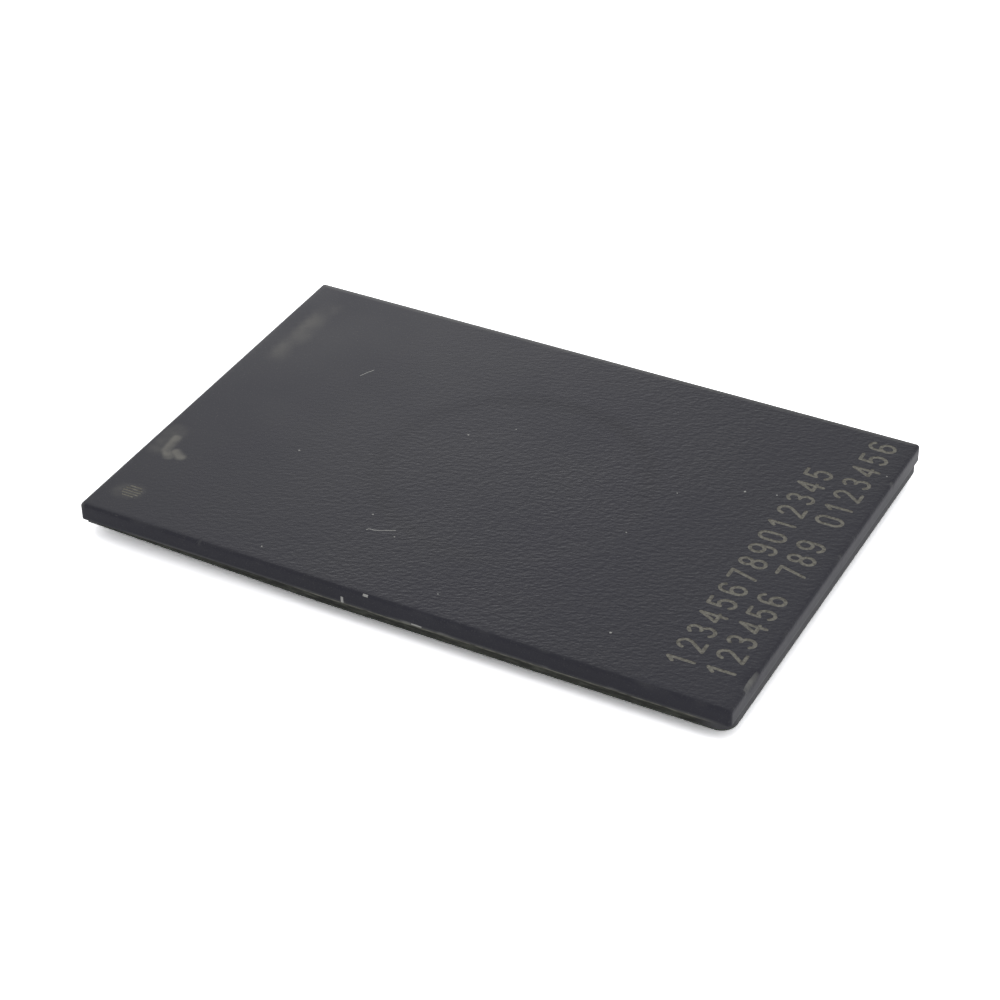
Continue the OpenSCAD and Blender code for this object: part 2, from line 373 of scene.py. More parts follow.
def solder_mask(settings):
    """Solder mask, flowed on as a liquid and cured to a tough green black film with a satin gloss
    and a faint orange peel."""
    made, tree, shader, place = start_material(
        "cured_solder_mask", {"IOR": 1.52, "Roughness": 0.42})
    # The waves of the peel are 0.18 mm across.
    peel = add_node(tree, "ShaderNodeTexNoise", {
        "Vector": place, "Scale": per_mm(0.18), "Detail": 2.0})
    tone = add_node(tree, "ShaderNodeMix", {
        "Factor": peel, "A": scaled(settings.mask, 0.8), "B": scaled(settings.mask, 1.25)},
        data_type="RGBA")
    tree.links.new(tone, shader.inputs["Base Color"])
    bumped = add_node(tree, "ShaderNodeBump", {
        "Height": peel, "Distance": 0.003 * MM, "Strength": 1.0})
    tree.links.new(bumped, shader.inputs["Normal"])
    return made


def sawn_mask(settings):
    """The upper solder mask, of which only the sawn edge shows. The blade tears and whitens the
    film, so it draws a thin, broken, pale olive line under the cap."""
    made, tree, shader, place = start_material(
        "sawn_solder_mask", {"IOR": 1.52, "Roughness": 0.7, "Specular IOR Level": 0.35})
    # The tears are 0.06 mm high and five times as long, the way the blade ran.
    along = add_node(tree, "ShaderNodeMapping", {"Vector": place, "Scale": (0.2, 0.2, 1.0)})
    tears = add_node(tree, "ShaderNodeTexNoise", {
        "Vector": along, "Scale": per_mm(0.06), "Detail": 3.0})
    torn = add_node(tree, "ShaderNodeMapRange", {
        "Value": tears, "From Min": 0.35, "From Max": 0.6})
    tone = add_node(tree, "ShaderNodeMix", {
        "Factor": torn, "A": scaled(settings.cut_mask, 0.35), "B": scaled(settings.cut_mask, 1.15)},
        data_type="RGBA")
    tree.links.new(dusted(tree, place, tone, settings), shader.inputs["Base Color"])
    bumped = add_node(tree, "ShaderNodeBump", {
        "Height": tears, "Distance": 0.004 * MM, "Strength": 1.0})
    tree.links.new(bumped, shader.inputs["Normal"])
    return made


def etched_copper(settings):
    """Copper foil, etched and roughened so that the mask grips it: a soft pink metal."""
    made, tree, shader, place = start_material("etched_copper", {"Metallic": 1.0})
    # Real teeth are some 0.003 mm, drawn at 0.05 mm to show at all.
    teeth = add_node(tree, "ShaderNodeTexNoise", {
        "Vector": place, "Scale": per_mm(0.05), "Detail": 3.0})
    tone = add_node(tree, "ShaderNodeMix", {
        "Factor": teeth, "A": scaled(settings.copper, 0.75), "B": settings.copper},
        data_type="RGBA")
    tree.links.new(tone, shader.inputs["Base Color"])
    rough = add_node(tree, "ShaderNodeMapRange", {
        "Value": teeth, "From Min": 0.3, "From Max": 0.7, "To Min": 0.3, "To Max": 0.5})
    tree.links.new(rough, shader.inputs["Roughness"])
    return made


def ground_silicon(settings):
    """Silicon die, ground thin and covered by a clear passivation, so that it shines like slate
    with a faint grid of memory banks."""
    made, tree, shader, place = start_material(
        "passivated_silicon", {"IOR": 2.0, "Roughness": 0.18, "Metallic": 0.3})
    # Each memory bank is 1.6 by 1.2 mm.
    banks = add_node(tree, "ShaderNodeTexBrick", {
        "Vector": place, "Scale": per_mm(1.0), "Color1": settings.silicon,
        "Color2": scaled(settings.silicon, 0.82), "Mortar": scaled(settings.silicon, 0.5),
        "Mortar Size": 0.02, "Brick Width": 1.6, "Row Height": 1.2}, offset=0.0)
    tree.links.new(banks, shader.inputs["Base Color"])
    return made


def die_attach(settings):
    """Die attach film, an epoxy sheet cured amber under each die."""
    made, tree, shader, place = start_material(
        "cured_die_attach_film", {"IOR": 1.5, "Roughness": 0.5})
    # The cure varies over stretches of 0.8 mm.
    cure = add_node(tree, "ShaderNodeTexNoise", {
        "Vector": place, "Scale": per_mm(0.8), "Detail": 2.0})
    tone = add_node(tree, "ShaderNodeMix", {
        "Factor": cure, "A": linear("#a89a68"), "B": linear("#c9bf92")}, data_type="RGBA")
    tree.links.new(tone, shader.inputs["Base Color"])
    return made


def drawn_gold(settings):
    """Gold wire drawn through a diamond die: smooth, bright and warm."""
    made, tree, shader, place = start_material("drawn_gold_wire", {"Metallic": 1.0})
    # Real drawing lines are finer than 0.001 mm, drawn nearly as wide as the wire to show.
    drawing = add_node(tree, "ShaderNodeTexNoise", {
        "Vector": place, "Scale": per_mm(0.02), "Detail": 1.0})
    rough = add_node(tree, "ShaderNodeMapRange", {
        "Value": drawing, "From Min": 0.3, "From Max": 0.7, "To Min": 0.18, "To Max": 0.28})
    tree.links.new(rough, shader.inputs["Roughness"])
    shader.inputs["Base Color"].default_value = settings.gold
    return made


def reflowed_solder(settings):
    """Lead free solder that froze from a melt: a grey white metal with a frosted skin of tin
    crystals and a dull film of oxide."""
    made, tree, shader, place = start_material("reflowed_solder", {"Metallic": 1.0})
    # Tin crystals are about 0.06 mm across, and the oxide frosts them in patches of 0.09 mm.
    crystals = add_node(tree, "ShaderNodeTexVoronoi", {
        "Vector": place, "Scale": per_mm(0.06)}, "Distance")
    frost = add_node(tree, "ShaderNodeTexNoise", {
        "Vector": place, "Scale": per_mm(0.09), "Detail": 3.0})
    tone = add_node(tree, "ShaderNodeMix", {
        "Factor": frost, "A": scaled(settings.solder, 0.66), "B": settings.solder},
        data_type="RGBA")
    tree.links.new(tone, shader.inputs["Base Color"])
    rough = add_node(tree, "ShaderNodeMapRange", {
        "Value": frost, "From Min": 0.3, "From Max": 0.7, "To Min": 0.26, "To Max": 0.46})
    tree.links.new(rough, shader.inputs["Roughness"])
    bumped = add_node(tree, "ShaderNodeBump", {
        "Height": crystals, "Distance": 0.002 * MM, "Strength": 0.6})
    tree.links.new(bumped, shader.inputs["Normal"])
    return made


def dress(names, made):
    """Gives CAD nodes their real finish."""
    for name in names:
        for material_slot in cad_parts[name].material_slots:
            material_slot.material = made


# The laser marks, in millimetres on the top face.

def arc(centre_x, centre_y, radius_x, radius_y, start, end, steps=8):
    """Points on part of an oval, from one angle to another in degrees."""
    angles = [math.radians(start + (end - start) * i / steps) for i in range(steps + 1)]
    return [(centre_x + radius_x * math.cos(a), centre_y + radius_y * math.sin(a)) for a in angles]


# Each digit's strokes on a cell one wide and one high.
DIGITS = {
    "0": [arc(0.5, 0.72, 0.5, 0.28, 0, 180) + arc(0.5, 0.28, 0.5, 0.28, 180, 360) + [(1, 0.72)]],
    "1": [[(0.12, 0.76), (0.55, 1), (0.55, 0)]],
    "2": [arc(0.5, 0.72, 0.5, 0.28, 170, -30) + [(0, 0), (1, 0)]],
    "3": [arc(0.47, 0.76, 0.45, 0.24, 150, -80), arc(0.5, 0.27, 0.5, 0.27, 95, -150)],
    "4": [[(0.76, 0), (0.76, 1), (0, 0.3), (1, 0.3)]],
    "5": [[(0.95, 1), (0.1, 1), (0.05, 0.52)] + arc(0.48, 0.32, 0.52, 0.32, 125, -150)],
    "6": [arc(0.5, 0.72, 0.5, 0.28, 30, 180), arc(0.5, 0.28, 0.5, 0.28, 180, -180, 14),
          [(0, 0.72), (0, 0.28)]],
    "7": [[(0, 1), (1, 1), (0.38, 0)]],
    "8": [arc(0.5, 0.76, 0.42, 0.24, 0, 360, 14), arc(0.5, 0.26, 0.5, 0.26, 0, 360, 14)],
    "9": [arc(0.5, 0.28, 0.5, 0.28, 210, 360), arc(0.5, 0.72, 0.5, 0.28, 0, 360, 14),
          [(1, 0.72), (1, 0.28)]],
}

# Two lines of counting digits at the +X end, read along +Y: (digits, first Y, base line X).
MARK_LINES = [
    ("123456789012345", -4.94, 7.51),
    ("123456 789 0123456", -4.9, 8.52),
]
DIGIT_PITCH = 0.597
DIGIT_WIDTH = 0.3
DIGIT_HEIGHT = 0.67

# The hatched index dot, and the plain angle stamped beside it.
DOT_CENTRE = (-8.1, -4.95)
DOT_RADIUS = 0.25
DOT_LINES = 5
DOT_LINE_WIDTH = 0.05
ANGLE_STROKES = [[(-8.42, -2.42), (-8.36, -3.0), (-8.14, -3.22)], [(-8.08, -2.98), (-7.84, -3.12)]]
ANGLE_SMUDGE = [[(-8.62, -2.25), (-8.58, -2.95)]]
DOT_SMUDGE = [[(-8.32, -5.0), (-8.06, -4.94)]]

# Patches of a finer lattice, where burns fade out softly: low corner, high corner, and its
# burns as (strokes, reach, strength).
SOFT_STEP = 0.05
SOFT_PATCHES = [
    (Vector((-8.9, -3.6)), Vector((-7.45, -1.75)),
     [(ANGLE_STROKES, 0.2, 0.66), (ANGLE_SMUDGE, 0.5, 0.18)]),
    (Vector((-8.85, -5.5)), Vector((-7.6, -4.4)), [(DOT_SMUDGE, 0.42, 0.2)]),
]

# Knocks in the top face: nicks as (X, Y, size), and scratches as bent lines.
NICKS = [
    (-1.67, 1.13, 0.035), (-0.67, 1.92, 0.025), (-5.25, -1.47, 0.04), (-2.12, -3.05, 0.03),
    (-1.17, -3.63, 0.03), (-3.9, -5.45, 0.03), (0.92, -5.17, 0.025), (5.28, -4.63, 0.045),
    (3.88, -0.88, 0.025), (5.8, 2.03, 0.04), (6.58, 2.25, 0.03), (4.3, 1.2, 0.025),
    (8.75, 4.25, 0.03),
]
SCRATCHES = [
    [(-1.94, -3.68), (-1.9, -3.62), (-1.77, -3.62), (-1.62, -3.57), (-1.28, -3.39)],
    [(-5.62, 2.3), (-5.53, 2.52), (-5.43, 2.7)],
]
NICK_SIDES = 7
NICK_DEPTH = 0.003
SCRATCH_WIDTH = 0.024

# The round dish that the ejector leaves, and the width of its slope. On that slope lies a ring of
# painted shade: how far in, how far it reaches each way, the turn at which it is darkest, its
# strength.
DISH_CENTRE = Vector((0.27, 0.0))
DISH_RADIUS = 3.8
DISH_SLOPE = 0.5
RING_INSET = 0.3
RING_REACH = 0.42
RING_DARKEST = math.radians(60)
RING_STRENGTH = 0.5

# How far the moulded top waves up and down, all of it under its true plane.
SWELL = 0.0015

# The haze at the far end.
HAZE_LOW = Vector((-8.45, 1.9))
HAZE_HIGH = Vector((-7.8, 5.1))
HAZE_STRENGTH = 0.36

# Chips on the cap's top edge: (X, Y, length along the edge, depth).
CHIPS = [
    (9.0, -4.78, 0.8, 0.07), (9.0, 4.04, 0.16, 0.03), (9.0, 0.62, 0.12, 0.02),
    (-5.4, -6.0, 0.12, 0.02),
]

# Torn flecks on the near side: (X, Y, length along the edge, lowest Z, highest Z).
FLECKS = [
    (-0.62, -6.0, 0.14, TOP_Z - 0.8 * EDGE_R, TOP_Z - 0.1 * EDGE_R),
    (-1.28, -6.0, 0.06, CAP_Z, CAP_Z + 0.15), (0.75, -6.0, 0.28, CAP_Z, CAP_Z + 0.03),
]

# Splinters on the cap's lower edge, where the saw left the laminate: (X, Y, length, depth).
SPLINTERS = [
    (-1.28, -6.0, 0.14, 0.03), (0.55, -6.0, 0.5, 0.03), (1.5, -6.0, 0.4, 0.025),
    (4.2, -6.0, 0.3, 0.02), (6.0, -6.0, 0.3, 0.02),
]

# Height over the cap's foot at which its whitened rim has half faded, depth of the saw's lines
# in the sides, and how far a chip sinks as a share of how far it cuts in.
SAWN_RIM = 0.035
SAW_LINES = 0.003
CHIP_SINK = 0.7

# How pale the compound turns per millimetre of a chip or a splinter, along the sawn rim and in
# patches of the top edge, and how pale it is painted as a highlight along both far edges and on
# the top beside the back edge.
CHIP_WEAR = 16
SPLINTER_WEAR = 25
SAWN_WEAR = 0.3
PATCH_WEAR = 0.15
FAR_HIGHLIGHT = 0.7
BACK_HIGHLIGHT = 0.42

# The painted highlight of a far edge begins at this share of the way from the middle to that edge.
FAR_EDGE = 0.98


def capsule(start, end, width, steps=5):
    """Outline of a straight stroke with round ends, running counter-clockwise."""
    start, end = Vector(start), Vector(end)
    turn = math.atan2(end.y - start.y, end.x - start.x)
    points = []
    for centre, first in ((end, turn - math.pi / 2), (start, turn + math.pi / 2)):
        for i in range(steps):
            angle = first + math.pi * i / (steps - 1)
            points.append(centre + Vector((math.cos(angle), math.sin(angle))) * width / 2)
    return points


def stroke(points, width):
    """Outlines of the straight parts of a bent line."""
    return [capsule(a, b, width) for a, b in zip(points, points[1:])]


def digit_strokes(digit, first_y, base_x, width):
    """One digit, turned so that it reads along +Y with its top towards -X."""
    outlines = []
    for line in DIGITS[digit]:
        placed = [(base_x - y * DIGIT_HEIGHT, first_y + x * DIGIT_WIDTH) for x, y in line]
        outlines += stroke(placed, width)
    return outlines


def index_dot():
    """Short parallel burns that fill a circle."""
    outlines = []
    for i in range(DOT_LINES):
        across = DOT_RADIUS * (2 * (i + 0.5) / DOT_LINES - 1)
        reach = math.sqrt(DOT_RADIUS ** 2 - across ** 2)
        x, y = DOT_CENTRE
        outlines.append(capsule((x - reach, y + across), (x + reach, y + across), DOT_LINE_WIDTH))
    return outlines


def nick(x, y, size):
    """Small uneven pit."""
    points = []
    for i in range(NICK_SIDES):
        angle = math.tau * i / NICK_SIDES
        radius = size * (0.8 + 0.4 * noise.noise(Vector((x * 3 + i, y * 3, 0.5))))
        points.append(Vector((x + radius * math.cos(angle), y + radius * math.sin(angle))))
    return points


# The cap's mesh.

def rim(inset):
    """Points round the cap at this distance inside its outline, with their inward directions."""
    points = []
    corners = [(1, -1, -90), (1, 1, 0), (-1, 1, 90), (-1, -1, 180)]
    flat = [HALF.y - CORNER_R, HALF.x - CORNER_R, HALF.y - CORNER_R, HALF.x - CORNER_R]
    for (side_x, side_y, first), half_run in zip(corners, flat):
        centre = Vector((side_x * (HALF.x - CORNER_R), side_y * (HALF.y - CORNER_R)))
        for i in range(CORNER_STEPS + 1):
            angle = math.radians(first + 90 * i / CORNER_STEPS)
            out = Vector((math.cos(angle), math.sin(angle)))
            points.append((centre + out * (CORNER_R - inset), -out))
        steps = round(2 * half_run / RIM_STEP)
        last, out = points[-1][0], -points[-1][1]
        along = Vector((-out.y, out.x)) * 2 * half_run / steps
        points += [(last + along * i, -out) for i in range(1, steps)]
    return points


def chip_depth(place, chips):
    """How far the edge is broken away at this place on the outline."""
    depth = 0.0
    for x, y, length, deepest in chips:
        away = (place - Vector((x, y))).length / (length / 2)
        if away < 1:
            ragged = 0.75 + 0.5 * noise.noise(Vector((place.x * 9, place.y * 9, x)))
            depth = max(depth, deepest * ragged * math.sqrt(1 - away))
    return depth


def is_fleck(face):
    """True for a face of the cap's side that lies in a torn fleck."""
    middle = face.calc_center_median()
    return any(low < middle.z < high and (middle.xy - Vector((x, y))).length < length / 2
               for x, y, length, low, high in FLECKS)


def within(place, low, high):
    """True where the place lies in the rectangle."""
    return low.x < place.x < high.x and low.y < place.y < high.y


def smooth_step(low, high, value):
    """0 at the low value and below, 1 at the high one and above, and a smooth rise between."""
    t = min(max((value - low) / (high - low), 0.0), 1.0)
    return t * t * (3 - 2 * t)


def top_relief(place, dish_depth):
    """Height of the moulded top over its true plane, never above it."""
    inside = 1 - smooth_step(DISH_RADIUS - DISH_SLOPE, DISH_RADIUS, (place - DISH_CENTRE).length)
    fade = min(HALF.x - abs(place.x), HALF.y - abs(place.y), 1.0)
    swell = noise.noise(Vector((place.x * 0.5, place.y * 0.5, 3.0)))
    return -dish_depth * inside + SWELL * fade * (swell - 1)


def ring_shade(place):
    """Painted shade in a band on the dish's slope, just inside its rim, stronger at two sides."""
    away = place - DISH_CENTRE
    band = (away.length - (DISH_RADIUS - RING_INSET)) / RING_REACH
    if abs(band) > 1:
        return 0.0
    turn = math.atan2(away.y, away.x)
    uneven = 0.6 + 0.4 * math.cos(2 * (turn - RING_DARKEST))
    return RING_STRENGTH * uneven * (1 - band * band) ** 2


def distance_to(place, line):
    """Distance from a place to the nearest point of a bent line."""
    nearest = math.inf
    for a, b in zip(line, line[1:]):
        a, run = Vector(a), Vector(b) - Vector(a)
        share = min(max((place - a).dot(run) / run.length_squared, 0.0), 1.0)
        nearest = min(nearest, (place - a - run * share).length)
    return nearest


def soft_burn(place):
    """How much of its black the compound lost at this place, where a burn fades out softly."""
    burnt = 0.0
    cloud = 0.85 + 0.5 * noise.noise(Vector((place.x * 5, place.y * 5, 1.0)))
    for low, high, burns in SOFT_PATCHES:
        if within(place, low, high):
            for lines, reach, strength in burns:
                away = min(distance_to(place, line) for line in lines)
                burnt = max(burnt, strength * cloud * (1 - smooth_step(0.25 * reach, reach, away)))
    return min(burnt, 1.0)


def haze_shade(place):
    """Soft pale haze in a rectangle at the far end."""
    middle = (HAZE_LOW + HAZE_HIGH) / 2
    reach = (HAZE_HIGH - HAZE_LOW) / 2
    away = Vector(((place.x - middle.x) / reach.x, (place.y - middle.y) / reach.y))
    fade = (1 - smooth_step(0.4, 1.25, abs(away.x))) * (1 - smooth_step(0.6, 1.15, abs(away.y)))
    cloud = 0.5 + 0.9 * noise.noise(Vector((place.x * 1.6, place.y * 1.6, 7.0)))
    return HAZE_STRENGTH * fade * min(max(cloud, 0.0), 1.0)


def lattice(low, high, step):
    """Even points in a rectangle, rows staggered."""
    points = []
    rise = step * math.sin(math.radians(60))
    for row in range(int((high.y - low.y) / rise) + 1):
        shift = step / 2 * (row % 2)
        count = int((high.x - low.x - shift) / step) + 1
        points += [Vector((low.x + shift + i * step, low.y + row * rise)) for i in range(count)]
    return points


def top_points():
    """Loose points of the top face, clear of its outline and finer under the soft burns."""
    reach = HALF - Vector((1, 1)) * (EDGE_R + LATTICE / 2)
    points = [point for point in lattice(-reach, reach, LATTICE)
              if not any(within(point, low, high) for low, high, _ in SOFT_PATCHES)]
    for low, high, _ in SOFT_PATCHES:
        points += lattice(low, high, SOFT_STEP)
    return points


def triangulate(outline, polygons, loose):
    """Triangles inside the outline, each with the set of polygons that it lies in.

    The outline's points keep their order and come first."""
    points, faces = list(outline) + list(loose), [list(range(len(outline)))]
    for polygon in polygons:
        faces.append(list(range(len(points), len(points) + len(polygon))))
        points += polygon
    places, _, found, from_points, _, from_faces = delaunay_2d_cdt(points, [], faces, 1, SNAP)
    return places, found, from_points, [set(owners) for owners in from_faces]


def hollow_of(node):
    """The cap solid's inner faces, in millimetres: pockets for dies and wires, and the window."""
    inner = bmesh.new()
    inner.from_mesh(node.data)
    bmesh.ops.scale(inner, vec=(1 / MM,) * 3, verts=inner.verts)
    bmesh.ops.remove_doubles(inner, verts=inner.verts, dist=SAME / 2)
    skin = []
    for face in inner.faces:
        middle = face.calc_center_median()
        is_outer = (middle.z > TOP_Z - 1.1 * EDGE_R or abs(middle.x) > HALF.x - 2 * EDGE_R
                    or abs(middle.y) > HALF.y - 2 * EDGE_R)
        is_under = all(abs(v.co.z - CAP_Z) < SAME for v in face.verts)
        if is_outer or is_under:
            skin.append(face)
    bmesh.ops.delete(inner, geom=skin, context="FACES")
    return inner


def open_loops(mesh):
    """The chains of vertices round the openings of a mesh."""
    following = {}
    for edge in mesh.edges:
        if edge.is_boundary:
            loop = edge.link_loops[0]
            following[loop.vert] = loop.link_loop_next.vert
    loops = []
    while following:
        first, vert = following.popitem()
        chain = [first]
        while vert in following:
            chain.append(vert)
            vert = following.pop(vert)
        loops.append(chain)
    return loops


def side_levels():
    """Inset and height of each ring of the cap's side, from its foot up round its top edge."""
    levels = [(0.0, CAP_Z), (0.0, CAP_Z + SAWN_RIM)]
    low, high = CAP_Z + 2 * SAWN_RIM, TOP_Z - EDGE_R
    levels += [(0.0, low + (high - low) * i / SIDE_STEPS) for i in range(SIDE_STEPS + 1)]
    for i in range(1, EDGE_STEPS + 1):
        angle = math.pi / 2 * i / EDGE_STEPS
        levels.append((EDGE_R * (1 - math.cos(angle)), high + EDGE_R * math.sin(angle)))
    return levels


def add_sides(bm):
    """Adds the sides and the rounded top edge, and returns their lowest and highest rings."""
    wear_and_highlight, sawn = bm.verts.layers.float["wear_and_highlight"], bm.verts.layers.float["sawn"]
    base = [place for place, _ in rim(0.0)]
    levels = side_levels()
    rings = []
    for number, (inset, z) in enumerate(levels):
        row = []
        near_top = smooth_step(TOP_Z - 2.5 * EDGE_R, TOP_Z, z)
        near_saw = 1 - smooth_step(0, 2 * SAWN_RIM, z - CAP_Z)
        is_foot, is_brim = number == 0, number == len(levels) - 1
        for (place, inward), root in zip(rim(inset), base):
            chip = chip_depth(root, CHIPS) * near_top
            splinter = chip_depth(root, SPLINTERS) * near_saw
            grain = Vector((root.x * 4, root.y * 4, z * 9))
            lines = SAW_LINES * abs(noise.noise(grain))
            spot = place + inward * (chip if is_foot else chip + lines + splinter)
            vert = bm.verts.new((spot.x, spot.y, z - CHIP_SINK * chip * near_top))
            # Along both far edges, and on the top beside the back edge, the pale colour paints a
            # highlight.
            back = smooth_step(FAR_EDGE, 1.0, root.y / HALF.y)
            far = max(back, smooth_step(FAR_EDGE, 1.0, -root.x / HALF.x))
            patches = PATCH_WEAR * max(0.0, noise.noise(grain * 0.6))
            rubbed_and_highlit = near_top * (patches + FAR_HIGHLIGHT * far)
            whitened = SAWN_WEAR * near_saw * (1 + noise.noise(grain * 0.4))
            broken = CHIP_WEAR * chip + SPLINTER_WEAR * splinter
            vert[wear_and_highlight] = BACK_HIGHLIGHT * back if is_brim else min(1.0, broken + whitened + rubbed_and_highlit)
            vert[sawn] = 1 - smooth_step(TOP_Z - 2 * EDGE_R, TOP_Z - EDGE_R / 2, z)
            row.append(vert)
        rings.append(row)
    for lower, upper in zip(rings, rings[1:]):
        for i, vert in enumerate(lower):
            j = (i + 1) % len(lower)
            side = bm.faces.new((vert, lower[j], upper[j], upper[i]))
            if is_fleck(side):
                side.material_index = SCUFFED
    return rings[0], rings[-1]


def add_underside(bm, foot, pockets):
    """Adds the underside, open where the hollow reaches it."""
    chains = [list(reversed(chain)) for chain in pockets]
    places, found, from_points, owners = triangulate(
        [vert.co.xy for vert in foot], [[vert.co.xy for vert in chain] for chain in chains], [])
    known = foot + [vert for chain in chains for vert in chain]
    under = [known[sources[0]] if sources else bm.verts.new((place.x, place.y, CAP_Z))
             for place, sources in zip(places, from_points)]
    for face, inside in zip(found, owners):
        if inside == {0}:
            bm.faces.new([under[i] for i in reversed(face)])


def laser_strokes(width):
    """Outlines of all that the laser marked: the index dot and both lines of digits."""
    outlines = index_dot()
    for digits, first_y, base_x in MARK_LINES:
        for i, digit in enumerate(digits):
            if digit != " ":
                outlines += digit_strokes(digit, first_y + i * DIGIT_PITCH, base_x, width)
    return outlines


def add_top(bm, brim, settings):
    """Adds the top, with every mark and knock as a pocket of its own depth."""
    haze, ring = bm.verts.layers.float["haze"], bm.verts.layers.float["ring"]
    marks = laser_strokes(settings.stroke_width / MM)
    knocks = [nick(*spot) for spot in NICKS]
    for line in SCRATCHES:
        knocks += stroke(line, SCRATCH_WIDTH)
    places, found, from_points, owners = triangulate(
        [vert.co.xy for vert in brim], marks + knocks, top_points())
    depths = {PLAIN: 0.0, MARKED: settings.mark_depth / MM, SCUFFED: NICK_DEPTH}
    verts = {}

    def top_vert(index, kind):
        """The point of this place at the depth of this kind of face."""
        sources = from_points[index]
        if kind == PLAIN and sources and min(sources) < len(brim):
            return brim[min(sources)]
        if (index, kind) not in verts:
            place = places[index]
            z = TOP_Z + top_relief(place, settings.dish_depth / MM) - depths[kind]
            vert = bm.verts.new((place.x, place.y, z))
            vert[haze] = max(haze_shade(place), soft_burn(place))
            # Painted shade on the slope of the dish.
            vert[ring] = ring_shade(place)
            verts[(index, kind)] = vert
        return verts[(index, kind)]

    kind_beside = {}
    for face, inside in zip(found, owners):
        is_marked = any(0 < i <= len(marks) for i in inside)
        kind = MARKED if is_marked else SCUFFED if len(inside) > 1 else PLAIN
        made = bm.faces.new([top_vert(i, kind) for i in face])
        made.material_index = kind
        for a, b in zip(face, face[1:] + face[:1]):
            kind_beside[(a, b)] = kind
    for (a, b), kind in kind_beside.items():
        other = kind_beside.get((b, a), kind)
        if depths[kind] > depths[other]:
            corners = ((a, other), (b, other), (b, kind), (a, kind))
            wall = bm.faces.new([top_vert(*corner) for corner in corners])
            wall.material_index = kind


def build_cap(settings):
    """The cap's mesh in millimetres: its outer skin with marks, wear, a painted highlight and
    painted shade, round its true hollow.
    """
    bm = hollow_of(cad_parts["mould_cap"])
    for name in ("wear_and_highlight", "haze", "ring", "sawn"):
        bm.verts.layers.float.new(name)
    pockets = open_loops(bm)
    foot, brim = add_sides(bm)
    add_underside(bm, foot, pockets)
    add_top(bm, brim, settings)
    bm.normal_update()
    for edge in bm.edges:
        edge.smooth = edge.calc_face_angle(0) < SHARP_TURN
    for face in bm.faces:
        face.smooth = True
    return bm


def link(name, data):
    """Puts a mesh, lamp or camera in the scene as an object."""
    made = bpy.data.objects.new(name, data)
    bpy.context.scene.collection.objects.link(made)
    return made


# The stage, in metres: half the floor's side, the places of the lamps and the panel's side, and
# the place just beside the package's middle that the camera looks at.
FLOOR_REACH = 1.5
PANEL_PLACE = Vector((-61, 94, 24)) * MM
PANEL_SIZE = 40 * MM
SIDE_PLACE = Vector((80, 20, 30)) * MM
SIDE_SPREAD = math.radians(60)
LOOK_AT = Vector((0.44, -1.08, 1.0)) * MM


class PACKAGE_OT_mould_cap(bpy.types.Operator):
    """Build the moulded cap with its rounded edges, laser marks, dish and knocks"""

    bl_idname = "package.mould_cap"
    bl_label = "Mould cap"

    def execute(self, context):
        settings = context.scene.package_cap
        bm = build_cap(settings)
        bmesh.ops.scale(bm, vec=(MM,) * 3, verts=bm.verts)
        mesh = bpy.data.meshes.new("moulded_cap")
        bm.to_mesh(mesh)
        bm.free()
        for made in (mould_compound(settings), laser_mark(settings), scuffed_compound(settings)):
            mesh.materials.append(made)
        cap = link("moulded_cap", mesh)
        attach(cap, BODY)
        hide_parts("mould_cap")
        return {"FINISHED"}


class PACKAGE_OT_laminate(bpy.types.Operator):
    """Dress the glass and resin core and the two solder masks"""

    bl_idname = "package.laminate"
    bl_label = "Laminate"

    def execute(self, context):
        settings = context.scene.package_laminate
        dress(["substrate_core"], glass_epoxy(settings))
        dress(["top_solder_mask"], sawn_mask(settings))
        dress(["bottom_solder_mask"], solder_mask(settings))
        return {"FINISHED"}


class PACKAGE_OT_copper(bpy.types.Operator):
    """Dress both copper layers and the vias between them"""

    bl_idname = "package.copper"
    bl_label = "Copper"

    def execute(self, context):
        dress(["top_copper", "vias", "bottom_copper"], etched_copper(context.scene.package_metal))
        return {"FINISHED"}


class PACKAGE_OT_die_stack(bpy.types.Operator):
    """Dress the dies, their films and their bond wires"""

    bl_idname = "package.die_stack"
    bl_label = "Die stack"

    def execute(self, context):
        settings = context.scene.package_metal
        numbers = range(1, DIES + 1)
        dress([f"die_{k}" for k in numbers], ground_silicon(settings))
        dress([f"die_film_{k}" for k in numbers], die_attach(settings))
        dress([f"bond_wires_{k}" for k in numbers], drawn_gold(settings))
        return {"FINISHED"}


class PACKAGE_OT_solder_balls(bpy.types.Operator):
    """Dress the rows of solder balls"""

    bl_idname = "package.solder_balls"
    bl_label = "Solder balls"

    def execute(self, context):
        dress(BALL_NODES, reflowed_solder(context.scene.package_metal))
        return {"FINISHED"}


